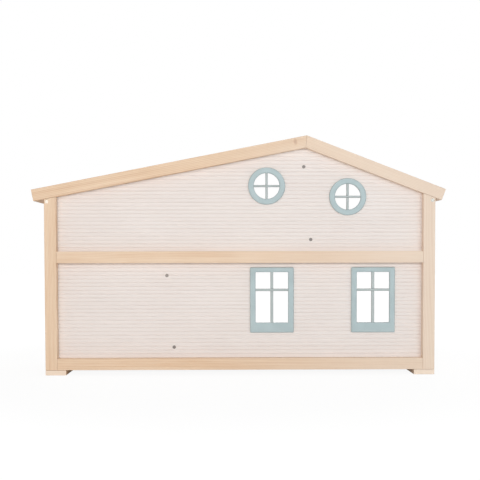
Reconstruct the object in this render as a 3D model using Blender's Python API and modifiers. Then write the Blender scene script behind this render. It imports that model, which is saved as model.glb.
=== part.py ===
"""Wooden dollhouse, built from the boards, panels, windows, dowels and screws of the real one.

Metres, +Z up. The closed back faces -Y and the open play side faces +Y. The origin lies on the floor,
under the middle of the house. Depths are counted from the back edges of the boards until the last step,
which moves everything back by half the depth.
"""
import math

import bmesh
import bpy
from mathutils import Matrix, Vector

# Fits shared by every joint
GAP = 0.0003              # clearance between pieces that touch
OVERRUN = 0.002           # how far a cutter runs past the face that it opens
MERGE = 0.00001           # points closer than this are one point
EDGE_ROUND = 0.0005       # eased edge of every board
EDGE_STEPS = 2

# Whole house
BOARD = 0.021             # planed stock that walls, floors, roof and partitions are cut from
BODY_WIDTH = 0.700
HOUSE_DEPTH = 0.250
LEFT_OVERHANG = 0.023     # roof past the wall, to the upper corner of its end
RIGHT_OVERHANG = 0.019
EAVE_HEIGHT = 0.333       # upper corner of both roof ends
RIDGE_HEIGHT = 0.429
RIDGE_X = 0.1216

# Floors and runners
RUNNER_HEIGHT = 0.009
RUNNER_WIDTH = 0.037
LOWER_ROOM_HEIGHT = 0.1715

# Partitions
LOWER_PARTITION_X = -0.124
UPPER_PARTITION_X = 0.1235
DOOR_WIDTH = 0.080
DOOR_HEADER = 0.0395      # board left between a doorway and the ceiling
DOOR_CORNER = 0.012       # rounded upper corners of a doorway
DOOR_PLACE_SHARE = 0.5    # of the partition's depth

# Back panels
RECESS = 0.0158           # back edges of the boards to the face of the panels
PANEL = 0.006
PANEL_SEAT = 0.0045       # how far a panel's edge reaches into a board
GROOVE_PITCH = 0.0068
GROOVE_WIDTH = 0.0018
GROOVE_DEPTH = 0.0011

# Windows
FLANGE = 0.0045           # thickness of the frame that shows on the panel
FLANGE_LIP = 0.004        # how far it covers the panel round the hole
FLANGE_ROUND = 0.0016
FRAME_CORNER = 0.0015     # rounded outer corners of the rectangular frames
FRAME_REBATE = 0.002      # the opening is this much wider behind the bars' front half
FRAME_REBATE_SETBACK = 0.0048
MUNTIN_DEPTH = 0.0052
MUNTIN_SETBACK = 0.0022   # front of the frame to the front of the bars
MUNTIN_SEAT = 0.0035      # how far a bar's end reaches into the frame
MUNTIN_ROUND = 0.0014
ROUND_STEPS = 3

RECT_WINDOW_WIDTH = 0.0788
RECT_WINDOW_HEIGHT = 0.118
RECT_STILE = 0.010
RECT_TOP_RAIL = 0.0086
RECT_BOTTOM_RAIL = 0.0181
RECT_HEADROOM = 0.0083    # top of the frame to the floor board above it
RECT_PLACE_SHARES = (0.3891, 0.8011)     # across the lower right room
RECT_BAR_WIDTHS = (0.0051, 0.0044)       # upright, cross
RECT_BAR_SHARE = 0.647    # height of the cross bar in the opening

ROUND_WINDOW_RADIUS = 0.0333
ROUND_OPENING_RADIUS = 0.0233
LEFT_ROUND_PLACE_SHARE = 0.8570          # across the upper left room
RIGHT_ROUND_PLACE_SHARE = 0.3169         # across the upper right room
LEFT_ROUND_DROP = 0.0539  # underside of the roof to the centre of the window
RIGHT_ROUND_DROP = 0.0573
ROUND_BAR_WIDTHS = (0.0042, 0.0037)      # upright, cross
CIRCLE_SIDES = 48

# Dowels
FLOOR_DOWEL_RADIUS = 0.004
FLOOR_DOWEL_LENGTH = 0.030
FLOOR_DOWEL_IN_WALL = 0.011
SMALL_DOWEL_RADIUS = 0.003
SMALL_DOWEL_LENGTH = 0.024
SMALL_DOWEL_IN_BOARD = 0.009
DOWEL_CHAMFER = 0.0008
DOWEL_SIDES = 10
DOWEL_SHARES = (0.2, 0.82)               # along the depth of the house

# Screws
SCREW_SIDES = 12
SCREW_INSET = 0.0002      # a head lies just under the face that it is driven into
CROSS_WIDTH_SHARE = 0.16  # slots of the cross recess, of the head's width
CROSS_LENGTH_SHARE = 0.62
CROSS_DEPTH_SHARE = 0.6   # of the head's thickness

BACK_SCREW_HEAD_RADIUS = 0.0031
BACK_SCREW_HEAD = 0.0019
BACK_SCREW_SHANK_RADIUS = 0.0015
BACK_SCREW_LENGTH = 0.030
BACK_SCREW_STAGGER = 0.0063              # each side of the middle of the partition
LOWER_SCREW_HEIGHT_SHARES = (0.868, 0.110)    # of the height of the lower room
UPPER_SCREW_HEIGHT_SHARES = (0.822, 0.113)    # of the room's height under the ridge
CORNER_SCREW_INSET = 0.0047              # from the wall's outer face and from its top
RUNNER_SCREW_HEAD_RADIUS = 0.0038
RUNNER_SCREW_HEAD = 0.0024
RUNNER_SCREW_SHANK_RADIUS = 0.0019
RUNNER_SCREW_LENGTH = 0.022
RUNNER_SCREW_SHARES = (0.32, 0.70)       # along the depth of the house

# Places that follow from the sizes above
LEFT_TIP = -(BODY_WIDTH + LEFT_OVERHANG + RIGHT_OVERHANG) / 2
RIGHT_TIP = -LEFT_TIP
LEFT_OUTER = LEFT_TIP + LEFT_OVERHANG
RIGHT_OUTER = RIGHT_TIP - RIGHT_OVERHANG
LEFT_INNER = LEFT_OUTER + BOARD
RIGHT_INNER = RIGHT_OUTER - BOARD
BASE_TOP = RUNNER_HEIGHT + BOARD
FLOOR_UNDER = BASE_TOP + LOWER_ROOM_HEIGHT
FLOOR_TOP = FLOOR_UNDER + BOARD
PANEL_BACK = RECESS + PANEL
PARTITION_START = PANEL_BACK + GAP
DOOR_Y = PARTITION_START + DOOR_PLACE_SHARE * (HOUSE_DEPTH - PARTITION_START)
FRAME_FRONT = RECESS - GAP - FLANGE
MUNTIN_FRONT = FRAME_FRONT + MUNTIN_SETBACK
MUNTIN_BACK = MUNTIN_FRONT + MUNTIN_DEPTH
LAP_Y = (MUNTIN_FRONT + MUNTIN_BACK) / 2
REBATE_Y = FRAME_FRONT + FRAME_REBATE_SETBACK
LEFT_SLOPE = math.atan2(RIDGE_HEIGHT - EAVE_HEIGHT, RIDGE_X - LEFT_TIP)
RIGHT_SLOPE = math.atan2(RIDGE_HEIGHT - EAVE_HEIGHT, RIGHT_TIP - RIDGE_X)
MITRE_TILT = (RIGHT_SLOPE - LEFT_SLOPE) / 2

# Directions: a fastener's mesh stands along +Z with its head at the top
QUARTER_TURN = math.radians(90)
EXTRUDE_ALONG_Y = Matrix.Rotation(QUARTER_TURN, 4, "X")
EXTRUDE_ALONG_X = Matrix.Rotation(QUARTER_TURN, 4, "Z") @ EXTRUDE_ALONG_Y
HEAD_TO_BACK = Matrix.Rotation(QUARTER_TURN, 4, "X")
HEAD_DOWN = Matrix.Rotation(2 * QUARTER_TURN, 4, "X")
LYING_ALONG_X = Matrix.Rotation(QUARTER_TURN, 4, "Y")
ACROSS_MITRE = Matrix.Rotation(QUARTER_TURN + MITRE_TILT, 4, "Y")
UPRIGHT = Matrix.Identity(4)

PARTS = None
CUTTERS = None


# Scene and collections

def clear_scene():
    """Removes what the opened file holds and makes the two collections."""
    global PARTS, CUTTERS
    for old in list(bpy.data.objects):
        bpy.data.objects.remove(old, do_unlink=True)
    PARTS = new_collection("dollhouse")
    CUTTERS = new_collection("dollhouse_cutters")


def new_collection(name):
    made = bpy.data.collections.new(name)
    bpy.context.scene.collection.children.link(made)
    return made


def as_cutter(obj):
    """Moves an object to the cutters, drawn as wire and left out of renders."""
    for holder in list(obj.users_collection):
        holder.objects.unlink(obj)
    CUTTERS.objects.link(obj)
    obj.hide_render = True
    obj.display_type = "WIRE"
    return obj


def paint(obj, colour, roughness, metallic=0.0):
    """Gives the object its own material."""
    material = bpy.data.materials.new(obj.name + "_finish")
    material.use_nodes = True
    shader = material.node_tree.nodes["Principled BSDF"]
    shader.inputs["Base Color"].default_value = (*colour, 1.0)
    shader.inputs["Roughness"].default_value = roughness
    shader.inputs["Metallic"].default_value = metallic
    obj.data.materials.clear()
    obj.data.materials.append(material)
    return obj


def finish_pine(obj):
    return paint(obj, (0.83, 0.61, 0.43), 0.55)


def finish_panel(obj):
    return paint(obj, (0.84, 0.77, 0.73), 0.6)


def finish_window(obj):
    return paint(obj, (0.46, 0.55, 0.57), 0.45)


def finish_beech(obj):
    return paint(obj, (0.70, 0.47, 0.29), 0.6)


def finish_steel(obj):
    return paint(obj, (0.55, 0.55, 0.54), 0.35, 1.0)


# Outlines are closed lists of points in a plane

def rectangle(left, right, bottom, top, grow=0.0):
    return [(left - grow, bottom - grow), (right + grow, bottom - grow),
            (right + grow, top + grow), (left - grow, top + grow)]


def arc(centre, radius, start, end, steps):
    """Points on an arc, both ends included; the angles are in degrees."""
    points = []
    for step in range(steps + 1):
        angle = math.radians(start + (end - start) * step / steps)
        points.append((centre[0] + radius * math.cos(angle), centre[1] + radius * math.sin(angle)))
    return points


def rounded_rectangle(left, right, bottom, top, grow=0.0):
    """A rectangle with the slightly rounded corners of a window frame."""
    inset = FRAME_CORNER - grow
    outline = []
    for x, z, start in ((right - inset, top - inset, 0), (left + inset, top - inset, 90),
                        (left + inset, bottom + inset, 180), (right - inset, bottom + inset, 270)):
        outline += arc((x, z), FRAME_CORNER, start, start + 90, ROUND_STEPS)
    return outline


# The roof: a cover is a distance below the top face, square to it

def slope_height(x, cover):
    """Height at x of the line that lies the cover below the top of the roof."""
    left = RIDGE_HEIGHT - (RIDGE_X - x) * math.tan(LEFT_SLOPE) - cover / math.cos(LEFT_SLOPE)
    right = RIDGE_HEIGHT - (x - RIDGE_X) * math.tan(RIGHT_SLOPE) - cover / math.cos(RIGHT_SLOPE)
    return min(left, right)


def peak_x(cover):
    """Where the two slopes meet at that cover, which is on the mitre of the ridge."""
    lag = cover / math.cos(LEFT_SLOPE) - cover / math.cos(RIGHT_SLOPE)
    return RIDGE_X + lag / (math.tan(LEFT_SLOPE) + math.tan(RIGHT_SLOPE))


def under_roof(left, right, bottom, cover):
    """Outline from a level bottom up to the slopes, with the peak where it lies between the sides."""
    outline = [(left, bottom), (right, bottom), (right, slope_height(right, cover))]
    peak = peak_x(cover)
    if left < peak < right:
        outline.append((peak, slope_height(peak, cover)))
    outline.append((left, slope_height(left, cover)))
    return outline


# Solids

def outline_object(name, outlines, start, end, turn=EXTRUDE_ALONG_Y):
    """Extrudes closed outlines from start to end; an outline inside another one is a hole.

    The points are (x, z) when extruded along Y, and (y, z) when extruded along X.
    """
    curve = bpy.data.curves.new(name, "CURVE")
    curve.dimensions = "2D"
    curve.fill_mode = "BOTH"
    curve.extrude = (end - start) / 2
    for outline in outlines:
        spline = curve.splines.new("POLY")
        spline.points.add(len(outline) - 1)
        for point, (across, up) in zip(spline.points, outline):
            point.co = (across, up, 0.0, 1.0)
        spline.use_cyclic_u = True
    drawn = bpy.data.objects.new(name + "_outline", curve)
    PARTS.objects.link(drawn)
    bpy.context.view_layer.update()
    evaluated = drawn.evaluated_get(bpy.context.evaluated_depsgraph_get())
    mesh = bpy.data.meshes.new_from_object(evaluated)
    bpy.data.objects.remove(drawn, do_unlink=True)

    middle = (start + end) / 2
    shift = Vector((0, middle, 0)) if turn is EXTRUDE_ALONG_Y else Vector((middle, 0, 0))
    shape = bmesh.new()
    shape.from_mesh(mesh)
    bmesh.ops.remove_doubles(shape, verts=shape.verts, dist=MERGE)
    bmesh.ops.dissolve_limit(shape, angle_limit=math.radians(0.1), verts=shape.verts, edges=shape.edges)
    bmesh.ops.transform(shape, matrix=Matrix.Translation(shift) @ turn, verts=shape.verts)
    bmesh.ops.recalc_face_normals(shape, faces=shape.faces)
    shape.to_mesh(mesh)
    shape.free()
    mesh.name = name
    obj = bpy.data.objects.new(name, mesh)
    PARTS.objects.link(obj)
    return obj


def turned_object(name, profile, sides, closed=False):
    """Turns a profile of (radius, height) about Z; a closed profile makes a ring."""
    steps = [(point, point + 1) for point in range(len(profile) - 1)]
    if closed:
        steps.append((len(profile) - 1, 0))
    mesh = bpy.data.meshes.new(name)
    mesh.from_pydata([(radius, 0.0, height) for radius, height in profile], steps, [])
    obj = bpy.data.objects.new(name, mesh)
    PARTS.objects.link(obj)
    turning = obj.modifiers.new("turned", "SCREW")
    turning.steps = sides
    turning.render_steps = sides
    turning.use_merge_vertices = True
    turning.merge_threshold = MERGE
    return obj


def lofted_ring(name, rings):
    """Lofts through closed rings of equally many points, and from the last back to the first."""
    shape = bmesh.new()
    loops = [[shape.verts.new(point) for point in ring] for ring in rings]
    for loop, onward in zip(loops, loops[1:] + loops[:1]):
        for index in range(len(loop)):
            shape.faces.new((loop[index - 1], loop[index], onward[index], onward[index - 1]))
    bmesh.ops.recalc_face_normals(shape, faces=shape.faces)
    mesh = bpy.data.meshes.new(name)
    shape.to_mesh(mesh)
    shape.free()
    obj = bpy.data.objects.new(name, mesh)
    PARTS.objects.link(obj)
    return obj


def ease_edges(obj, width, steps, chosen):
    """Rounds the edges between unlike faces whose middle passes the chosen test."""
    obj.data.attributes.new("bevel_weight_edge", "FLOAT", "EDGE")
    shape = bmesh.new()
    shape.from_mesh(obj.data)
    layer = shape.edges.layers.float["bevel_weight_edge"]
    for edge in shape.edges:
        middle = (edge.verts[0].co + edge.verts[1].co) / 2
        turned = edge.calc_face_angle(0.0) > math.radians(30)
        edge[layer] = 1.0 if turned and chosen(middle) else 0.0
    shape.to_mesh(obj.data)
    shape.free()
    bevel = obj.modifiers.new("eased_edges", "BEVEL")
    bevel.limit_method = "WEIGHT"
    bevel.width = width
    bevel.segments = steps
    return obj


def board(name, outline, start=0.0, end=HOUSE_DEPTH, eased=lambda middle: True):
    """A wooden board with its edges eased, apart from those that the test leaves sharp for a joint."""
    obj = outline_object(name, [outline], start, end)
    ease_edges(obj, EDGE_ROUND, EDGE_STEPS, eased)
    return finish_pine(obj)


def cut(obj, *cutters):
    for cutter in cutters:
        boolean = obj.modifiers.new("cut_" + cutter.name, "BOOLEAN")
        boolean.operation = "DIFFERENCE"
        boolean.solver = "EXACT"
        boolean.object = cutter


def outline_cutter(name, outlines, start, end, turn=EXTRUDE_ALONG_Y):
    return as_cutter(outline_object(name, outlines, start, end, turn))


def row_of_holes(name, mesh, placings):
    """One cutter holding the mesh at each placing."""
    shape = bmesh.new()
    for placing in placings:
        before = len(shape.verts)
        shape.from_mesh(mesh)
        shape.verts.ensure_lookup_table()
        bmesh.ops.transform(shape, matrix=placing, verts=shape.verts[before:])
    grouped = bpy.data.meshes.new(name)
    shape.to_mesh(grouped)
    shape.free()
    obj = bpy.data.objects.new(name, grouped)
    PARTS.objects.link(obj)
    return as_cutter(obj)


def set_out(name, mesh, placings, finish):
    """A piece of its own at each placing, numbered from 1."""
    for number, placing in enumerate(placings, start=1):
        obj = bpy.data.objects.new(f"{name}_{number}", mesh.copy())
        obj.matrix_world = placing
        PARTS.objects.link(obj)
        finish(obj)


def placing_at(x, y, z, turn):
    return Matrix.Translation((x, y, z)) @ turn


# Dowels stand on their middle

def dowel_mesh(radius, length, grow=0.0):
    """A plain dowel, chamfered at both ends; a grown one, for its hole, has no chamfer."""
    shape = bmesh.new()
    bmesh.ops.create_cone(shape, cap_ends=True, segments=DOWEL_SIDES, radius1=radius + grow,
                          radius2=radius + grow, depth=length + 2 * grow)
    if not grow:
        rims = [edge for edge in shape.edges if abs(edge.verts[0].co.z - edge.verts[1].co.z) < MERGE]
        bmesh.ops.bevel(shape, geom=rims, offset=DOWEL_CHAMFER, segments=1, affect="EDGES")
    mesh = bpy.data.meshes.new("dowel")
    shape.to_mesh(mesh)
    shape.free()
    return mesh


def dowels(name, radius, length, placings, *boards):
    """Dowels and the holes for them in the boards that they join."""
    holes = row_of_holes(name + "_holes", dowel_mesh(radius, length, GAP), placings)
    for piece in boards:
        cut(piece, holes)
    set_out(name, dowel_mesh(radius, length), placings, finish_beech)


# Screws hang from the middle of their head

def screw_profile(head_radius, head, shank_radius, length, grow=0.0):
    """Outer side of a countersunk screw, top to bottom; a grown one reaches past the face."""
    profile = [(head_radius + grow, 0.0), (shank_radius + grow, -head),
               (shank_radius + grow, -(length - 2 * shank_radius)), (0.0, -(length + grow))]
    if grow:
        profile.insert(0, (head_radius + grow, OVERRUN))
    return [(0.0, profile[0][1])] + profile


def screw_mesh(name, profile, cutters=()):
    """The finished mesh of one turned and slotted screw."""
    obj = turned_object(name, profile, SCREW_SIDES)
    cut(obj, *cutters)
    bpy.context.view_layer.update()
    mesh = bpy.data.meshes.new_from_object(obj.evaluated_get(bpy.context.evaluated_depsgraph_get()))
    bpy.data.objects.remove(obj, do_unlink=True)
    return mesh


def cross_slots(name, head_radius, head):
    """The two crossed slots that a screwdriver fits."""
    half_width = CROSS_WIDTH_SHARE * head_radius
    half_length = CROSS_LENGTH_SHARE * head_radius
    slots = []
    for part, x, y in (("_long", half_length, half_width), ("_cross", half_width, half_length)):
        slot = outline_cutter(name + part, [rectangle(-x, x, -y, y)], -OVERRUN, CROSS_DEPTH_SHARE * head)
        slot.data.transform(Matrix.Rotation(-QUARTER_TURN, 4, "X"))
        slots.append(slot)
    return slots


def screws(name, head_radius, head, shank_radius, length, placings, *pieces):
    """Countersunk screws and the holes for them in the pieces that they join."""
    profile = screw_profile(head_radius, head, shank_radius, length)
    hole = screw_mesh(name + "_hole", screw_profile(head_radius, head, shank_radius, length, GAP))
    holes = row_of_holes(name + "_holes", hole, placings)
    for piece in pieces:
        cut(piece, holes)
    slots = cross_slots(name + "_slots", head_radius, head)
    set_out(name, screw_mesh(name + "_one", profile, slots), placings, finish_steel)


# Boards

def make_walls():
    """The two side walls, whose tops follow the slopes of the roof."""
    bottom = RUNNER_HEIGHT + GAP
    cover = BOARD + GAP
    return (board("left_side_wall", under_roof(LEFT_OUTER, LEFT_INNER, bottom, cover)),
            board("right_side_wall", under_roof(RIGHT_INNER, RIGHT_OUTER, bottom, cover)))


def make_floors():
    """The base board and the floor between the storeys, whose sharp ends butt against the walls."""
    sides = (LEFT_INNER + GAP, RIGHT_INNER - GAP)
    return [board(name, rectangle(*sides, bottom, top),
                  eased=lambda middle: LEFT_INNER + BOARD < middle.x < RIGHT_INNER - BOARD)
            for name, bottom, top in (("base_board", RUNNER_HEIGHT + GAP, BASE_TOP),
                                      ("mid_floor", FLOOR_UNDER, FLOOR_TOP))]


def make_roof():
    """Two boards with their ends cut square, and a sharp mitre where they meet at the ridge."""
    under = (peak_x(BOARD), slope_height(peak_x(BOARD), BOARD))
    setback = GAP / 2 / math.cos((LEFT_SLOPE + RIGHT_SLOPE) / 2)
    boards = []
    for name, tip, slope, side in (("roof_left", LEFT_TIP, LEFT_SLOPE, -1),
                                   ("roof_right", RIGHT_TIP, RIGHT_SLOPE, 1)):
        back = (side * setback * math.cos(slope), -setback * math.sin(slope))
        lower_end = (tip - side * BOARD * math.sin(slope), EAVE_HEIGHT - BOARD * math.cos(slope))
        outline = [(tip, EAVE_HEIGHT), (RIDGE_X + back[0], RIDGE_HEIGHT + back[1]),
                   (under[0] + back[0], under[1] + back[1]), lower_end]
        boards.append(board(name, outline, eased=lambda middle: abs(middle.x - RIDGE_X) > BOARD))
    return boards


def make_runners():
    """Two flat runners that the house stands on, flush with its outer faces."""
    left = rectangle(LEFT_OUTER, LEFT_OUTER + RUNNER_WIDTH, 0.0, RUNNER_HEIGHT)
    right = rectangle(RIGHT_OUTER - RUNNER_WIDTH, RIGHT_OUTER, 0.0, RUNNER_HEIGHT)
    return board("left_foot_runner", left), board("right_foot_runner", right)


def doorway(name, partition_x, floor, ceiling):
    """Cutter for a doorway without a sill, with rounded upper corners."""
    left = DOOR_Y - DOOR_WIDTH / 2
    right = DOOR_Y + DOOR_WIDTH / 2
    top = ceiling - DOOR_HEADER
    outline = [(left, floor - OVERRUN), (right, floor - OVERRUN)]
    outline += arc((right - DOOR_CORNER, top - DOOR_CORNER), DOOR_CORNER, 0, 90, ROUND_STEPS)
    outline += arc((left + DOOR_CORNER, top - DOOR_CORNER), DOOR_CORNER, 90, 180, ROUND_STEPS)
    reach = BOARD / 2 + OVERRUN
    return outline_cutter(name, [outline], partition_x - reach, partition_x + reach, EXTRUDE_ALONG_X)


def make_partitions():
    """The upright boards that part the rooms; the upper one carries the ridge."""
    half = BOARD / 2
    lower = board("lower_partition", rectangle(LOWER_PARTITION_X - half, LOWER_PARTITION_X + half,
                                               BASE_TOP + GAP, FLOOR_UNDER - GAP), PARTITION_START)
    sides = (UPPER_PARTITION_X - half, UPPER_PARTITION_X + half)
    upper = board("upper_partition", under_roof(*sides, FLOOR_TOP + GAP, BOARD + GAP), PARTITION_START)
    slope = min(slope_height(x, BOARD) for x in sides)
    cut(lower, doorway("lower_doorway", LOWER_PARTITION_X, BASE_TOP, FLOOR_UNDER))
    cut(upper, doorway("upper_doorway", UPPER_PARTITION_X, FLOOR_TOP, slope))
    return lower, upper


# Back panels

def panel_grooves(name, bottom, top):
    """Cutter for the level V grooves that run across the face of a panel."""
    half_width = GROOVE_WIDTH / 2 * (GROOVE_DEPTH + OVERRUN) / GROOVE_DEPTH
    sections = []
    height = bottom + GROOVE_PITCH
    while height < top:
        sections.append([(RECESS - OVERRUN, height - half_width), (RECESS + GROOVE_DEPTH, height),
                         (RECESS - OVERRUN, height + half_width)])
        height += GROOVE_PITCH
    return outline_cutter(name, sections, LEFT_OUTER, RIGHT_OUTER, EXTRUDE_ALONG_X)


def make_back_panel(name, outline_at, bottom, top, *boards):
    """A grooved sheet and the slots in the boards that hold its edges."""
    panel = finish_panel(outline_object(name, [outline_at(PANEL_SEAT)], RECESS, PANEL_BACK))
    slot = outline_cutter(name + "_slot", [outline_at(PANEL_SEAT + GAP)], RECESS - GAP, PANEL_BACK + GAP)
    for piece in boards:
        cut(piece, slot)
    cut(panel, panel_grooves(name + "_grooves", bottom, top))
    return panel


def lower_panel_outline(seat):
    return rectangle(LEFT_INNER, RIGHT_INNER, BASE_TOP, FLOOR_UNDER, seat)


def upper_panel_outline(seat):
    return under_roof(LEFT_INNER - seat, RIGHT_INNER + seat, FLOOR_TOP - seat, BOARD - seat)


# Windows

def frame_section():
    """Section through a window frame, once round, as (edge, distance, y).

    The edge is the frame's outer edge or its opening, and the distance is counted from it, outwards.
    """
    shoulder = FRAME_FRONT + FLANGE
    rise = FRAME_FRONT + FLANGE_ROUND
    outer_round = arc((-FLANGE_ROUND, rise), FLANGE_ROUND, 0, -90, EDGE_STEPS)
    opening_round = arc((FLANGE_ROUND, rise), FLANGE_ROUND, -90, -180, EDGE_STEPS)
    section = [("outer", -FLANGE_LIP, PANEL_BACK), ("outer", -FLANGE_LIP, shoulder), ("outer", 0.0, shoulder)]
    section += [("outer", *point) for point in outer_round]
    section += [("opening", *point) for point in opening_round]
    rebate = [(0.0, REBATE_Y), (FRAME_REBATE, REBATE_Y), (FRAME_REBATE, PANEL_BACK)]
    return section + [("opening", *point) for point in rebate]


def fit_window(name, frame, hole_outline, opening, bar_widths, bar_height, panel):
    """Lets a frame into the panel and gives it two bars, half-lapped where they cross.

    The opening is (left, right, bottom, top); the bars run to its edges and on into the frame.
    """
    left, right, bottom, top = opening
    middle = (left + right) / 2
    across, up = (width / 2 for width in bar_widths)
    cut(panel, outline_cutter(name + "_hole", [hole_outline], RECESS - OVERRUN, PANEL_BACK + OVERRUN))

    upright_shape = (middle - across, middle + across, bottom - MUNTIN_SEAT, top + MUNTIN_SEAT)
    cross_shape = (left - MUNTIN_SEAT, right + MUNTIN_SEAT, bar_height - up, bar_height + up)
    upright = outline_object(name + "_upright_bar", [rectangle(*upright_shape)], MUNTIN_FRONT, MUNTIN_BACK)
    cross = outline_object(name + "_cross_bar", [rectangle(*cross_shape)], MUNTIN_FRONT, MUNTIN_BACK)
    front = MUNTIN_FRONT + MERGE
    ease_edges(upright, MUNTIN_ROUND, ROUND_STEPS, lambda point: point.y < front and bottom < point.z < top)
    ease_edges(cross, MUNTIN_ROUND, ROUND_STEPS, lambda point: point.y < front and left < point.x < right)

    behind = PANEL_BACK + OVERRUN
    for part, shape in (("_upright_seat", upright_shape), ("_cross_seat", cross_shape)):
        cut(frame, outline_cutter(name + part, [rectangle(*shape, GAP)], MUNTIN_FRONT - GAP, behind))
    cut(upright, outline_cutter(name + "_front_lap", [rectangle(*cross_shape, GAP)], MUNTIN_FRONT - OVERRUN,
                                LAP_Y + GAP / 2))
    cut(cross, outline_cutter(name + "_back_lap", [rectangle(*upright_shape, GAP)], LAP_Y - GAP / 2, behind))
    for piece in (frame, upright, cross):
        finish_window(piece)


def make_rect_window(name, centre_x, panel):
    """A rectangular window hung just under the floor above, with a deeper bottom rail."""
    top = FLOOR_UNDER - RECT_HEADROOM
    bottom = top - RECT_WINDOW_HEIGHT
    outer = (centre_x - RECT_WINDOW_WIDTH / 2, centre_x + RECT_WINDOW_WIDTH / 2, bottom, top)
    opening = (outer[0] + RECT_STILE, outer[1] - RECT_STILE, bottom + RECT_BOTTOM_RAIL, top - RECT_TOP_RAIL)
    sides = {"outer": outer, "opening": opening}
    frame = lofted_ring(name + "_frame", [[(x, y, z) for x, z in rounded_rectangle(*sides[edge], out)]
                                          for edge, out, y in frame_section()])
    bar_height = opening[2] + RECT_BAR_SHARE * (opening[3] - opening[2])
    hole = rounded_rectangle(*outer, GAP - FLANGE_LIP)
    fit_window(name, frame, hole, opening, RECT_BAR_WIDTHS, bar_height, panel)


def make_round_window(name, centre_x, drop, panel):
    """A turned round window at its drop below the slope of the roof."""
    centre = (centre_x, slope_height(centre_x, BOARD) - drop)
    radii = {"outer": ROUND_WINDOW_RADIUS, "opening": ROUND_OPENING_RADIUS}
    profile = [(radii[edge] + out, -y) for edge, out, y in reversed(frame_section())]
    frame = turned_object(name + "_frame", profile, CIRCLE_SIDES, closed=True)
    frame.matrix_world = placing_at(centre[0], 0.0, centre[1], HEAD_TO_BACK)
    opening = (centre[0] - ROUND_OPENING_RADIUS, centre[0] + ROUND_OPENING_RADIUS,
               centre[1] - ROUND_OPENING_RADIUS, centre[1] + ROUND_OPENING_RADIUS)
    hole = arc(centre, ROUND_WINDOW_RADIUS - FLANGE_LIP + GAP, 0, 360, CIRCLE_SIDES)[:-1]
    fit_window(name, frame, hole, opening, ROUND_BAR_WIDTHS, centre[1], panel)


def make_windows(lower_panel, upper_panel):
    half = BOARD / 2
    room = (LOWER_PARTITION_X + half, RIGHT_INNER)
    for name, share in zip(("left_rect_window", "right_rect_window"), RECT_PLACE_SHARES):
        make_rect_window(name, room[0] + share * (room[1] - room[0]), lower_panel)
    left_room = (LEFT_INNER, UPPER_PARTITION_X - half)
    right_room = (UPPER_PARTITION_X + half, RIGHT_INNER)
    make_round_window("left_round_window",
                      left_room[0] + LEFT_ROUND_PLACE_SHARE * (left_room[1] - left_room[0]),
                      LEFT_ROUND_DROP, upper_panel)
    make_round_window("right_round_window",
                      right_room[0] + RIGHT_ROUND_PLACE_SHARE * (right_room[1] - right_room[0]),
                      RIGHT_ROUND_DROP, upper_panel)


# Fasteners

def join_walls(left_wall, right_wall, base, mid_floor, roof_left, roof_right):
    """Dowels from the walls into the floors and up into the roof."""
    depths = [share * HOUSE_DEPTH for share in DOWEL_SHARES]
    reach = FLOOR_DOWEL_LENGTH / 2 - FLOOR_DOWEL_IN_WALL
    level = []
    for height in (RUNNER_HEIGHT + BOARD / 2, FLOOR_UNDER + BOARD / 2):
        for x in (LEFT_INNER + reach, RIGHT_INNER - reach):
            level += [placing_at(x, y, height, LYING_ALONG_X) for y in depths]
    dowels("floor_dowel", FLOOR_DOWEL_RADIUS, FLOOR_DOWEL_LENGTH, level, left_wall, right_wall,
           base, mid_floor)

    rise = SMALL_DOWEL_LENGTH / 2 - SMALL_DOWEL_IN_BOARD
    upright = []
    for x in (LEFT_OUTER + BOARD / 2, RIGHT_OUTER - BOARD / 2):
        upright += [placing_at(x, y, slope_height(x, BOARD) - rise, UPRIGHT) for y in depths]
    dowels("eave_dowel", SMALL_DOWEL_RADIUS, SMALL_DOWEL_LENGTH, upright, left_wall, right_wall,
           roof_left, roof_right)

    ridge = ((RIDGE_X + peak_x(BOARD)) / 2, (RIDGE_HEIGHT + slope_height(peak_x(BOARD), BOARD)) / 2)
    across = [placing_at(ridge[0], y, ridge[1], ACROSS_MITRE) for y in depths]
    dowels("ridge_dowel", SMALL_DOWEL_RADIUS, SMALL_DOWEL_LENGTH, across, roof_left, roof_right)


def join_partitions(lower, upper, base, mid_floor):
    """Dowels from the floors into the legs of the partitions, either side of the doorways."""
    leg = (HOUSE_DEPTH - PARTITION_START - DOOR_WIDTH) / 2
    depths = (PARTITION_START + leg / 2, HOUSE_DEPTH - leg / 2)
    rise = SMALL_DOWEL_LENGTH / 2 - SMALL_DOWEL_IN_BOARD
    places = [(LOWER_PARTITION_X, BASE_TOP + rise), (LOWER_PARTITION_X, FLOOR_UNDER - rise),
              (UPPER_PARTITION_X, FLOOR_TOP + rise)]
    upright = [placing_at(x, y, z, UPRIGHT) for x, z in places for y in depths]
    dowels("partition_dowel", SMALL_DOWEL_RADIUS, SMALL_DOWEL_LENGTH, upright, lower, upper, base, mid_floor)


def screw_panels(lower_panel, upper_panel, lower, upper):
    """Two staggered screws through each back panel into the partition behind it."""
    ridge_room = slope_height(peak_x(BOARD), BOARD) - FLOOR_TOP
    rows = ((LOWER_PARTITION_X, BASE_TOP, LOWER_ROOM_HEIGHT, LOWER_SCREW_HEIGHT_SHARES),
            (UPPER_PARTITION_X, FLOOR_TOP, ridge_room, UPPER_SCREW_HEIGHT_SHARES))
    placings = []
    for middle, floor, room, shares in rows:
        for side, share in zip((-1, 1), shares):
            placings.append(placing_at(middle + side * BACK_SCREW_STAGGER, RECESS + SCREW_INSET,
                                       floor + share * room, HEAD_TO_BACK))
    screws("back_panel_screw", BACK_SCREW_HEAD_RADIUS, BACK_SCREW_HEAD, BACK_SCREW_SHANK_RADIUS,
           BACK_SCREW_LENGTH, placings, lower_panel, upper_panel, lower, upper)


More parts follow.
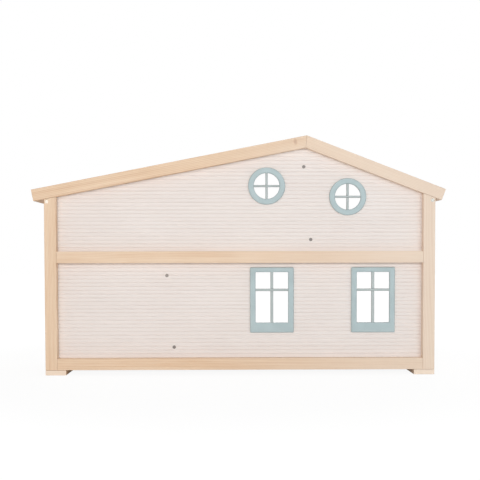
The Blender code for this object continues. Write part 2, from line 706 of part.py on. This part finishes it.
def screw_corners(left_wall, right_wall):
    """A small screw in the back edge of each wall, in its top outer corner."""
    placings = []
    for x in (LEFT_OUTER + CORNER_SCREW_INSET, RIGHT_OUTER - CORNER_SCREW_INSET):
        lowest_top = min(slope_height(x + side * CORNER_SCREW_INSET, BOARD) for side in (-1, 1))
        placings.append(placing_at(x, SCREW_INSET, lowest_top - CORNER_SCREW_INSET, HEAD_TO_BACK))
    screws("wall_corner_screw", BACK_SCREW_HEAD_RADIUS, BACK_SCREW_HEAD, BACK_SCREW_SHANK_RADIUS,
           BACK_SCREW_LENGTH, placings, left_wall, right_wall)


def screw_runners(left_runner, right_runner, left_wall, right_wall, base):
    """Screws up through each runner, into the wall and into the base board beside it."""
    in_base = (RUNNER_WIDTH - BOARD) / 2
    placings = []
    for wall_x, base_x in ((LEFT_OUTER + BOARD / 2, LEFT_INNER + in_base),
                           (RIGHT_OUTER - BOARD / 2, RIGHT_INNER - in_base)):
        for share in RUNNER_SCREW_SHARES:
            for x in (wall_x, base_x):
                placings.append(placing_at(x, share * HOUSE_DEPTH, SCREW_INSET, HEAD_DOWN))
    screws("runner_screw", RUNNER_SCREW_HEAD_RADIUS, RUNNER_SCREW_HEAD, RUNNER_SCREW_SHANK_RADIUS,
           RUNNER_SCREW_LENGTH, placings, left_runner, right_runner, left_wall, right_wall, base)


def finish_meshes():
    """Welds what the cuts leave split, and shades round faces smooth with their edges kept sharp."""
    for obj in PARTS.objects:
        weld = obj.modifiers.new("weld", "WELD")
        weld.merge_threshold = MERGE
        obj.data.shade_smooth()
        obj.data.set_sharp_from_angle(angle=math.radians(35))


def centre_depth():
    """Hangs everything on an empty that brings the middle of the depth over the origin."""
    middle = bpy.data.objects.new("middle_of_house", None)
    bpy.context.scene.collection.objects.link(middle)
    middle.location.y = -HOUSE_DEPTH / 2
    for obj in [*PARTS.objects, *CUTTERS.objects]:
        obj.parent = middle


def build_dollhouse():
    clear_scene()
    left_wall, right_wall = make_walls()
    base, mid_floor = make_floors()
    roof_left, roof_right = make_roof()
    left_runner, right_runner = make_runners()
    lower, upper = make_partitions()
    lower_panel = make_back_panel("lower_back_panel", lower_panel_outline, BASE_TOP, FLOOR_UNDER,
                                  left_wall, right_wall, base, mid_floor)
    upper_panel = make_back_panel("upper_back_panel", upper_panel_outline, FLOOR_TOP, RIDGE_HEIGHT,
                                  left_wall, right_wall, mid_floor, roof_left, roof_right)
    make_windows(lower_panel, upper_panel)
    join_walls(left_wall, right_wall, base, mid_floor, roof_left, roof_right)
    join_partitions(lower, upper, base, mid_floor)
    screw_panels(lower_panel, upper_panel, lower, upper)
    screw_corners(left_wall, right_wall)
    screw_runners(left_runner, right_runner, left_wall, right_wall, base)
    finish_meshes()
    centre_depth()


build_dollhouse()
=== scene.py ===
"""Looks of the wooden dollhouse: pine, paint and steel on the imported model, a pale studio and the camera."""

import math

import bpy
from mathutils import Matrix, Vector

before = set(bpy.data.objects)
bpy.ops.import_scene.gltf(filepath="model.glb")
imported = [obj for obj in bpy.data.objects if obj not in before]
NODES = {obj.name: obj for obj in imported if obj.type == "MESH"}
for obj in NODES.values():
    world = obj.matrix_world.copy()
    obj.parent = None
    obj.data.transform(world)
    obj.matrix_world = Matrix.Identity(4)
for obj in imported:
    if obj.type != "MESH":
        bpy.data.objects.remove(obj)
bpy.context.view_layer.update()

# Camera, in metres and degrees; the lens and sensor are in millimetres, the shift in frame widths
CAMERA_PLACE = (-0.0140, -1.775, 0.2204)
CAMERA_DOWN = 2.216
CAMERA_RIGHT = 0.544
CAMERA_ROLL = -0.112
SENSOR_WIDTH = 36.0
LENS = 69.04
SHIFT_UP = 0.10

# Turns that lay the grain along X, by the way that it runs in the board
QUARTER_TURN = math.radians(90)
LEVEL = (0.0, 0.0, 0.0)
UPRIGHT = (0.0, QUARTER_TURN, 0.0)
DEEP = (0.0, 0.0, -QUARTER_TURN)
LEFT_SLOPE = (0.0, math.radians(11.03), 0.0)
RIGHT_SLOPE = (0.0, -math.radians(21.05), 0.0)

# Colours, as sRGB values from 0 to 255
PINE_PALE = (243, 217, 190)
PINE_MIDDLE = (236, 205, 174)
PINE_DARK = (217, 176, 138)
# painted light: the paler, greyer pine that the boards turn towards +X
PINE_PAINTED_LIGHT = (240, 223, 208)
# painted light: paler end grain, standing in for light from the white floor below
PINE_END_PAINTED_LIGHT = (250, 232, 214)
KNOT_EDGE = (190, 130, 84)
KNOT_HEART = (150, 92, 56)
BEECH_PALE = (222, 186, 150)
BEECH_DARK = (190, 146, 108)
BEECH = (BEECH_PALE, BEECH_PALE, BEECH_DARK)
PANEL_PALE = (246, 238, 234)
PANEL_DARK = (237, 226, 221)
WINDOW_PAINT = (180, 197, 200)
# painted shade: a greyer copy of the window paint for the bars, which sit back from the frames
BAR_PAINT_SHADED = (184, 193, 193)
STEEL = (128, 123, 119)
STEEL_BRIGHT = (176, 170, 162)
FLOOR_WHITE = (250, 250, 250)
PLAIN_WHITE = (1.0, 1.0, 1.0, 1.0)       # already linear

# Pine, in metres and shares; painted light: every board is paler and greyer towards the end of the house at
# +X, where light falls stronger
PAINTED_LIGHT_FROM = -0.15
PAINTED_LIGHT_TO = 0.36
PAINTED_LIGHT_SHARE = 0.50
STAVE_WIDTH = 0.046       # boards are glued from staves of this width
RING_WIDTH = 0.0027
RING_SWAY = 0.030         # how far the rings wander along a board
RING_RIPPLE = 0.0012
LATE_WOOD_START = 0.15    # shares of a ring's width
LATE_WOOD_FULL = 0.88
LATE_WOOD_END = 0.90
PITH_SPREAD = 0.090       # how far the heart of the tree lies from the middle of a stave
PITH_DEPTH = 0.050
PITH_LEAST_SHARE = 0.3    # of that depth

# How far one seed's wood lies from the next: in metres, in staves and in random numbers
SEED_STEPS = (0.613, 0.271, 0.157)
STAVE_SHIFT = 0.37
CHANCE_STEP = 7.31

# Noise in the wood, in cells a metre along, across and through the grain
SWAY_CELLS = (1.7, 9.0, 9.0)
RIPPLE_CELLS = (14.0, 60.0, 60.0)
FIBRE_CELLS = (26.0, 1300.0, 1300.0)
STREAK_CELLS = (3.2, 170.0, 170.0)
CLOUD_CELLS = (7.0, 22.0, 22.0)

# How much each of them darkens the wood, where 0 is its pale and 1 its dark colour
TONE_START = 0.12
RING_TONE = 0.42
FIBRE_TONE = 0.75
STREAK_TONE = 1.05
CLOUD_TONE = 0.55
STAVE_TONE = 0.22
MIDDLE_TONE = 0.42        # where the middle colour lies

# End grain, and the relief and gloss of planed wood
END_GRAIN_FROM = 0.6      # cosine between the face's normal and the grain
END_GRAIN_FULL = 0.95
END_GRAIN_DARK = 0.12
WOOD_ROUGHNESS = 0.46
WOOD_ROUGHNESS_CHANGE = 0.16
WOOD_RING_RELIEF = 0.35
WOOD_FIBRE_RELIEF = 0.65
WOOD_BUMP = (0.35, 0.00025)              # strength and height

# Panel paint, in cells a metre along X, Y and Z
PANEL_STREAK_CELLS = (5.0, 60.0, 320.0)
PANEL_CLOUD_CELLS = (9.0, 9.0, 14.0)
PANEL_STREAK_TONE = 0.7
PANEL_CLOUD_TONE = 0.5
PANEL_TONE_DROP = 0.1
PANEL_RAMP = (0.15, 0.85)                # where the tone is darkest and palest
PANEL_ROUGHNESS = 0.62
PANEL_BUMP = (0.25, 0.0002)

# Window paint
BRUSH_CELLS = (420.0, 420.0, 420.0)
PAINT_CLOUD_CELLS = (40.0, 40.0, 40.0)
BRUSH_TONE = 0.4
PAINT_CLOUD_TONE = 0.6
PAINT_DARKER = 7          # sRGB steps below and above the paint's colour
PAINT_PALER = 5
PAINT_ROUGHNESS = 0.36
PAINT_ROUGHNESS_CHANGE = 0.14
PAINT_BUMP = (0.2, 0.0002)

# Steel
TURNING_CELLS = (1800.0, 1800.0, 1800.0)
STEEL_DARKER = 22
STEEL_ROUGHNESS = 0.3
STEEL_ROUGHNESS_CHANGE = 0.2
STEEL_BUMP = (0.15, 0.0001)
PAINT_AND_STEEL_RAMP = (0.3, 0.7)        # where the noise is darkest and palest

# Knots, each as its place and radii along, across and through the grain, and its strength
ROOF_KNOT = ((0.1790, -0.120, 0.3905), (0.0042, 0.022, 0.0075), 0.45)
LEFT_WALL_KNOT = ((0.21, 0.062, 0.338), (0.012, 0.007, 0.03), 1.0)
RIGHT_WALL_KNOT = ((0.10, 0.030, -0.342), (0.010, 0.006, 0.03), 1.0)
FLOOR_KNOT = ((-0.18, 0.07, 0.212), (0.014, 0.007, 0.03), 1.0)
KNOT_RIM_SPAN = (0.0, 0.45)              # of the way from its rim to its heart
KNOT_HEART_SPAN = (0.35, 0.8)

# The floor keeps its shadow near the house and glows plain white further off
FLOOR_SIZE = 14.0
FLOOR_ROUGHNESS = 0.9
FLOOR_GLOW = 1.03
SHADOW_REACH = 0.45
SHADOW_END = 0.95
SHADOW_GLOW = 0.90

# Light from all round, then each lamp's place, target, size, power in watts and colour
WORLD_STRENGTH = 0.36
WORLD_COLOUR = (1.0, 0.985, 0.97, 1.0)
LAMPS = {
    "key": ((-0.60, -2.75, 0.62), (-0.20, -0.12, 0.20), 0.9, 23.0, (1.0, 0.945, 0.90)),
    "cool_side": ((1.05, -2.55, 0.62), (0.20, -0.12, 0.20), 0.9, 15.0, (0.78, 0.92, 1.0)),
    "open_side": ((0.6, 2.3, 1.2), (0.0, 0.0, 0.20), 2.0, 30.0, (1.0, 1.0, 1.0)),
}


def linear(colour):
    """A colour given as sRGB values from 0 to 255, as linear RGBA from 0 to 1."""
    parts = []
    for value in colour:
        share = value / 255
        parts.append(share / 12.92 if share <= 0.04045 else ((share + 0.055) / 1.055) ** 2.4)
    return (*parts, 1.0)


class Recipe:
    """One material's nodes, added and linked in the order that they are written."""

    def __init__(self, name):
        self.material = bpy.data.materials.new(name)
        self.material.use_nodes = True
        self.tree = self.material.node_tree
        self.shader = self.tree.nodes["Principled BSDF"]

    def add(self, kind, *inputs, **settings):
        """Adds a node, sets its properties, and fills its inputs from sockets or plain values."""
        node = self.tree.nodes.new("ShaderNode" + kind)
        for name, value in settings.items():
            setattr(node, name, value)
        for socket, value in zip(node.inputs, inputs):
            self.fill(socket, value)
        return node

    def fill(self, socket, value):
        """Links the socket to another one, or sets a plain value; None leaves it as it is."""
        if isinstance(value, bpy.types.NodeSocket):
            self.tree.links.new(value, socket)
        elif value is not None:
            socket.default_value = value

    def math(self, operation, first, second=0.0, clamp=False):
        return self.add("Math", first, second, operation=operation, use_clamp=clamp).outputs[0]

    def scaled(self, vector, factors):
        """The vector times three factors."""
        return self.add("VectorMath", vector, factors, operation="MULTIPLY").outputs[0]

    def noise(self, vector, detail=2.0, roughness=0.5):
        """Noise from 0 to 1 of one cell a unit."""
        node = self.add("TexNoise", vector)
        node.inputs["Scale"].default_value = 1.0
        node.inputs["Detail"].default_value = detail
        node.inputs["Roughness"].default_value = roughness
        return node.outputs[0]

    def ramp(self, factor, *stops):
        """Colours at positions from 0 to 1."""
        node = self.add("ValToRGB", factor)
        elements = node.color_ramp.elements
        for index, (position, colour) in enumerate(stops):
            element = elements[index] if index < 2 else elements.new(position)
            element.position = position
            element.color = linear(colour)
        return node.outputs[0]

    def mix(self, factor, first, second, blend_type="MIX"):
        """Two colours mixed; inputs 6 and 7 and output 2 are the node's sockets for colours."""
        node = self.add("Mix", data_type="RGBA", blend_type=blend_type)
        self.fill(node.inputs["Factor"], factor)
        self.fill(node.inputs[6], first)
        self.fill(node.inputs[7], second)
        return node.outputs[2]

    def between(self, value, low, high, at_low=0.0, at_high=1.0):
        """Goes smoothly from at_low to at_high while the value goes from low to high."""
        node = self.add("MapRange", value, low, high, at_low, at_high, interpolation_type="SMOOTHSTEP")
        return node.outputs[0]

    def roughness(self, marks, least, change):
        """Roughness that rises with the marks."""
        rise = self.math("MULTIPLY", marks, change)
        self.fill(self.shader.inputs["Roughness"], self.math("ADD", rise, least))

    def bump(self, height, strength, distance):
        """Relief from a height of 0 to 1, where 1 stands the distance proud."""
        node = self.add("Bump")
        node.inputs["Strength"].default_value = strength
        node.inputs["Distance"].default_value = distance
        self.fill(node.inputs["Height"], height)
        self.fill(self.shader.inputs["Normal"], node.outputs[0])


# Wood

def along_grain(recipe, turn):
    """Object coordinates turned so that X runs along the grain, Y across the width and Z through it."""
    place = recipe.add("TexCoord").outputs["Object"]
    turned = recipe.add("Mapping", place, vector_type="POINT")
    turned.inputs["Rotation"].default_value = turn
    return turned.outputs[0]


def growth_rings(recipe, coords, seed, staves):
    """Late wood of the growth rings from 0 to 1, and a random colour for each stave."""
    axes = recipe.add("SeparateXYZ", coords).outputs
    across = recipe.math("DIVIDE", axes[1], STAVE_WIDTH)
    shifted = recipe.math("ADD", across, seed * STAVE_SHIFT)
    stave = recipe.math("FLOOR", shifted) if staves else 0.0
    chance = recipe.add("TexWhiteNoise", noise_dimensions="1D")
    recipe.fill(chance.inputs["W"], recipe.math("ADD", stave, seed * CHANCE_STEP))
    chances = recipe.add("SeparateColor", chance.outputs["Color"]).outputs

    in_stave = recipe.math("SUBTRACT", shifted, recipe.math("ADD", stave, 0.5))
    aside = recipe.math("SUBTRACT", recipe.math("MULTIPLY", in_stave, STAVE_WIDTH),
                        recipe.math("MULTIPLY", recipe.math("SUBTRACT", chances[0], 0.5), PITH_SPREAD))
    share = recipe.math("ADD", chances[1], PITH_LEAST_SHARE)
    deep = recipe.math("ADD", axes[2], recipe.math("MULTIPLY", share, PITH_DEPTH))
    sway = recipe.noise(recipe.scaled(coords, SWAY_CELLS), detail=1.0)
    ripple = recipe.noise(recipe.scaled(coords, RIPPLE_CELLS), detail=1.0)
    radius = recipe.math("SQRT", recipe.math("ADD", recipe.math("MULTIPLY", aside, aside),
                                             recipe.math("MULTIPLY", deep, deep)))
    radius = recipe.math("ADD", radius, recipe.math("MULTIPLY", sway, RING_SWAY))
    radius = recipe.math("ADD", radius, recipe.math("MULTIPLY", ripple, RING_RIPPLE))
    phase = recipe.math("FRACT", recipe.math("DIVIDE", radius, RING_WIDTH))
    rising = recipe.between(phase, LATE_WOOD_START, LATE_WOOD_FULL)
    falling = recipe.between(phase, LATE_WOOD_END, 1.0)
    return recipe.math("MULTIPLY", rising, recipe.math("SUBTRACT", 1.0, falling)), chances


def knot_share(recipe, coords, centre, radii):
    """How near a point is to the heart of an egg-shaped knot: 1 there and 0 at its rim."""
    offset = recipe.add("VectorMath", coords, centre, operation="SUBTRACT").outputs[0]
    stretched = recipe.scaled(offset, tuple(1 / radius for radius in radii))
    distance = recipe.add("VectorMath", stretched, operation="LENGTH").outputs["Value"]
    return recipe.math("SUBTRACT", 1.0, distance, clamp=True)


def wood_tone(recipe, seeded, rings, stave_chance):
    """How dark the wood is, from 0 to 1, and its fibres."""
    fibres = recipe.noise(recipe.scaled(seeded, FIBRE_CELLS), detail=3.0, roughness=0.6)
    streaks = recipe.noise(recipe.scaled(seeded, STREAK_CELLS), detail=2.0)
    clouds = recipe.noise(recipe.scaled(seeded, CLOUD_CELLS), detail=2.0)
    tone = recipe.math("MULTIPLY", rings, RING_TONE)
    for marks, strength in ((fibres, FIBRE_TONE), (streaks, STREAK_TONE), (clouds, CLOUD_TONE)):
        either_way = recipe.math("SUBTRACT", marks, 0.5)
        tone = recipe.math("ADD", tone, recipe.math("MULTIPLY", either_way, strength))
    tone = recipe.math("ADD", tone, recipe.math("MULTIPLY", stave_chance, STAVE_TONE))
    return recipe.math("ADD", tone, TONE_START, clamp=True), fibres


def with_knots(recipe, colour, coords, knots):
    """The colour with the rims and hearts of the knots in it."""
    for centre, radii, strength in knots:
        near = knot_share(recipe, coords, centre, radii)
        rim = recipe.between(near, *KNOT_RIM_SPAN, 0.0, strength)
        heart = recipe.between(near, *KNOT_HEART_SPAN)
        colour = recipe.mix(rim, colour, recipe.mix(heart, linear(KNOT_EDGE), linear(KNOT_HEART)))
    return colour


def with_painted_light(recipe, colour, painted_light_extra):
    """The colour with painted light: paler by the given share, and more so towards +X, where light falls
    stronger.
    """
    along_house = recipe.add("SeparateXYZ", recipe.add("TexCoord").outputs["Object"]).outputs[0]
    painted_light = recipe.between(along_house, PAINTED_LIGHT_FROM, PAINTED_LIGHT_TO, painted_light_extra, painted_light_extra + PAINTED_LIGHT_SHARE)
    return recipe.mix(painted_light, colour, linear(PINE_PAINTED_LIGHT))


def with_end_grain(recipe, colour, turn, dark, painted_light_on_ends):
    """The colour, darker on end grain, and then with painted light there by the given share: paler end grain
    for light from the floor below.
    """
    facing = recipe.add("VectorRotate", recipe.add("TexCoord").outputs["Normal"], rotation_type="EULER_XYZ")
    facing.inputs["Rotation"].default_value = turn
    lengthwise = recipe.add("SeparateXYZ", facing.outputs[0]).outputs[0]
    end_grain = recipe.between(recipe.math("ABSOLUTE", lengthwise), END_GRAIN_FROM, END_GRAIN_FULL)
    colour = recipe.mix(recipe.math("MULTIPLY", end_grain, END_GRAIN_DARK), colour, linear(dark), "MULTIPLY")
    if painted_light_on_ends:
        colour = recipe.mix(recipe.math("MULTIPLY", end_grain, painted_light_on_ends), colour, linear(PINE_END_PAINTED_LIGHT))
    return colour


def wood(name, turn, seed, painted_light_extra=0.0, staves=True, knots=(), painted_light_on_ends=0.0,
         colours=(PINE_PALE, PINE_MIDDLE, PINE_DARK)):
    """Planed wood with growth rings, staves, fibres and end grain, and painted light: paler towards +X, and
    paler still all over and on its end grain by the two given shares.
    """
    recipe = Recipe(name)
    coords = along_grain(recipe, turn)
    seeded = recipe.add("VectorMath", coords, tuple(seed * step for step in SEED_STEPS)).outputs[0]
    rings, chances = growth_rings(recipe, seeded, seed, staves)
    tone, fibres = wood_tone(recipe, seeded, rings, chances[2])
    light, middle, dark = colours
    colour = recipe.ramp(tone, (0.0, light), (1.0, dark), (MIDDLE_TONE, middle))
    colour = with_knots(recipe, colour, coords, knots)
    colour = with_painted_light(recipe, colour, painted_light_extra)
    colour = with_end_grain(recipe, colour, turn, dark, painted_light_on_ends)
    recipe.fill(recipe.shader.inputs["Base Color"], colour)

    recipe.roughness(fibres, WOOD_ROUGHNESS, WOOD_ROUGHNESS_CHANGE)
    relief = recipe.math("ADD", recipe.math("MULTIPLY", rings, WOOD_RING_RELIEF),
                         recipe.math("MULTIPLY", fibres, WOOD_FIBRE_RELIEF))
    recipe.bump(relief, *WOOD_BUMP)
    return recipe.material


# Paint and metal

def panel_paint(name):
    """Washed paint on a grooved sheet."""
    recipe = Recipe(name)
    coords = recipe.add("TexCoord").outputs["Object"]
    streaks = recipe.noise(recipe.scaled(coords, PANEL_STREAK_CELLS), detail=3.0, roughness=0.6)
    clouds = recipe.noise(recipe.scaled(coords, PANEL_CLOUD_CELLS), detail=2.0)
    tone = recipe.math("ADD", recipe.math("MULTIPLY", streaks, PANEL_STREAK_TONE),
                       recipe.math("MULTIPLY", clouds, PANEL_CLOUD_TONE))
    tone = recipe.math("SUBTRACT", tone, PANEL_TONE_DROP, clamp=True)
    low, high = PANEL_RAMP
    colour = recipe.ramp(tone, (low, PANEL_DARK), (high, PANEL_PALE))
    recipe.fill(recipe.shader.inputs["Base Color"], colour)
    recipe.shader.inputs["Roughness"].default_value = PANEL_ROUGHNESS
    recipe.bump(streaks, *PANEL_BUMP)
    return recipe.material


def window_paint(name, colour):
    """Satin paint with faint brush marks."""
    recipe = Recipe(name)
    coords = recipe.add("TexCoord").outputs["Object"]
    marks = recipe.noise(recipe.scaled(coords, BRUSH_CELLS), detail=3.0, roughness=0.6)
    clouds = recipe.noise(recipe.scaled(coords, PAINT_CLOUD_CELLS), detail=1.0)
    tone = recipe.math("ADD", recipe.math("MULTIPLY", marks, BRUSH_TONE),
                       recipe.math("MULTIPLY", clouds, PAINT_CLOUD_TONE))
    darker = tuple(value - PAINT_DARKER for value in colour)
    paler = tuple(value + PAINT_PALER for value in colour)
    low, high = PAINT_AND_STEEL_RAMP
    recipe.fill(recipe.shader.inputs["Base Color"], recipe.ramp(tone, (low, darker), (high, paler)))
    recipe.roughness(marks, PAINT_ROUGHNESS, PAINT_ROUGHNESS_CHANGE)
    recipe.bump(marks, *PAINT_BUMP)
    return recipe.material


def steel(name, colour):
    """Zinc-plated steel with turning marks."""
    recipe = Recipe(name)
    coords = recipe.add("TexCoord").outputs["Object"]
    marks = recipe.noise(recipe.scaled(coords, TURNING_CELLS), detail=2.0)
    darker = tuple(value - STEEL_DARKER for value in colour)
    low, high = PAINT_AND_STEEL_RAMP
    recipe.fill(recipe.shader.inputs["Base Color"], recipe.ramp(marks, (low, darker), (high, colour)))
    recipe.shader.inputs["Metallic"].default_value = 1.0
    recipe.roughness(marks, STEEL_ROUGHNESS, STEEL_ROUGHNESS_CHANGE)
    recipe.bump(marks, *STEEL_BUMP)
    return recipe.material


# Which node wears what

def dress(node, material):
    """Gives a CAD node its finish in place of the plain one."""
    slots = NODES[node].data.materials
    slots.clear()
    slots.append(material)


def dress_boards():
    # Painted light: the right wall, the right roof and the middle floor are paler still
    dress("left_side_wall", wood("pine_left_wall", UPRIGHT, 1, knots=[LEFT_WALL_KNOT]))
    dress("right_side_wall", wood("pine_right_wall", UPRIGHT, 2, painted_light_extra=0.1, knots=[RIGHT_WALL_KNOT]))
    dress("base_board", wood("pine_base", LEVEL, 3))
    dress("mid_floor", wood("pine_floor", LEVEL, 4, painted_light_extra=0.05, knots=[FLOOR_KNOT]))
    dress("roof_left", wood("pine_roof_left", LEFT_SLOPE, 5, knots=[ROOF_KNOT]))
    dress("roof_right", wood("pine_roof_right", RIGHT_SLOPE, 6, painted_light_extra=0.1))
    dress("lower_partition", wood("pine_lower_partition", UPRIGHT, 7))
    dress("upper_partition", wood("pine_upper_partition", UPRIGHT, 8))
    # Painted light: the runners' end grain is paler, for light from the floor below
    dress("left_foot_runner", wood("pine_left_runner", DEEP, 9, painted_light_on_ends=0.8, staves=False))
    dress("right_foot_runner", wood("pine_right_runner", DEEP, 10, painted_light_on_ends=0.9, staves=False))


def dress_rest():
    beech_level = wood("beech_level", LEVEL, 11, staves=False, colours=BEECH)
    beech_upright = wood("beech_upright", UPRIGHT, 12, staves=False, colours=BEECH)
    frame_paint = window_paint("frame_paint", WINDOW_PAINT)
    # Painted shade: the bars wear a greyer copy of the frame paint
    bar_paint_shaded = window_paint("bar_paint_shaded", BAR_PAINT_SHADED)
    zinc = steel("zinc_steel", STEEL)
    bright_zinc = steel("bright_zinc_steel", STEEL_BRIGHT)
    for node in NODES:
        if "_panel" in node and "screw" not in node:
            dress(node, panel_paint(node + "_paint"))
        elif node.endswith("_bar"):
            dress(node, bar_paint_shaded)
        elif node.endswith("_window_frame"):
            dress(node, frame_paint)
        elif node.startswith("wall_corner_screw"):
            dress(node, bright_zinc)
        elif "screw" in node:
            dress(node, zinc)
        elif node.startswith(("floor_dowel", "ridge_dowel")):
            dress(node, beech_level)
        elif "dowel" in node:
            dress(node, beech_upright)


# Studio

def white_floor():
    """A pale floor that keeps a faint shadow; the camera sees most of it as plain white."""
    bpy.ops.mesh.primitive_plane_add(size=FLOOR_SIZE, location=(0.0, 0.0, 0.0))
    floor = bpy.context.object
    floor.name = "studio_floor"
    recipe = Recipe("floor_white")
    recipe.shader.inputs["Base Color"].default_value = linear(FLOOR_WHITE)
    recipe.shader.inputs["Roughness"].default_value = FLOOR_ROUGHNESS
    glow = recipe.add("Emission", PLAIN_WHITE, FLOOR_GLOW)
    seen = recipe.add("LightPath").outputs["Is Camera Ray"]
    place = recipe.add("TexCoord").outputs["Object"]
    away = recipe.add("VectorMath", place, operation="LENGTH").outputs["Value"]
    share = recipe.between(away, SHADOW_REACH, SHADOW_END, SHADOW_GLOW, 1.0)
    glowing = recipe.math("MULTIPLY", seen, share)
    blend = recipe.add("MixShader", glowing, recipe.shader.outputs[0], glow.outputs[0])
    recipe.fill(recipe.tree.nodes["Material Output"].inputs["Surface"], blend.outputs[0])
    floor.data.materials.append(recipe.material)


def soft_world():
    """Even light from all round, and plain white where the camera or metal looks past the house."""
    world = bpy.data.worlds.new("studio")
    world.use_nodes = True
    bpy.context.scene.world = world
    tree = world.node_tree
    even = tree.nodes["Background"]
    even.inputs["Color"].default_value = WORLD_COLOUR
    even.inputs["Strength"].default_value = WORLD_STRENGTH
    white = tree.nodes.new("ShaderNodeBackground")
    white.inputs["Color"].default_value = PLAIN_WHITE
    path = tree.nodes.new("ShaderNodeLightPath")
    either = tree.nodes.new("ShaderNodeMath")
    either.operation = "MAXIMUM"
    tree.links.new(path.outputs["Is Camera Ray"], either.inputs[0])
    tree.links.new(path.outputs["Is Glossy Ray"], either.inputs[1])
    blend = tree.nodes.new("ShaderNodeMixShader")
    tree.links.new(either.outputs[0], blend.inputs[0])
    tree.links.new(even.outputs[0], blend.inputs[1])
    tree.links.new(white.outputs[0], blend.inputs[2])
    tree.links.new(blend.outputs[0], tree.nodes["World Output"].inputs["Surface"])


def area_light(name, place, target, size, power, colour):
    lamp = bpy.data.lights.new(name, "AREA")
    lamp.shape = "SQUARE"
    lamp.size = size
    lamp.energy = power
    lamp.color = colour
    light = bpy.data.objects.new(name, lamp)
    light.location = place
    light.rotation_euler = (Vector(target) - Vector(place)).to_track_quat("-Z", "Y").to_euler()
    bpy.context.scene.collection.objects.link(light)


def studio():
    white_floor()
    soft_world()
    for name, lamp in LAMPS.items():
        area_light(name, *lamp)


def camera():
    """The photo's own view: straight onto the back, a little from above, with the frame shifted up."""
    lens = bpy.data.cameras.new("photo_camera")
    lens.sensor_width = SENSOR_WIDTH
    lens.lens = LENS
    lens.shift_y = SHIFT_UP
    seen_from = bpy.data.objects.new("photo_camera", lens)
    turn = Matrix.Rotation(-math.radians(CAMERA_RIGHT), 4, "Z")
    tilt = Matrix.Rotation(QUARTER_TURN - math.radians(CAMERA_DOWN), 4, "X")
    roll = Matrix.Rotation(math.radians(CAMERA_ROLL), 4, "Z")
    seen_from.matrix_world = Matrix.Translation(CAMERA_PLACE) @ turn @ tilt @ roll
    bpy.context.scene.collection.objects.link(seen_from)
    bpy.context.scene.camera = seen_from


dress_boards()
dress_rest()
studio()
camera()
bpy.context.scene.view_settings.view_transform = "Standard"
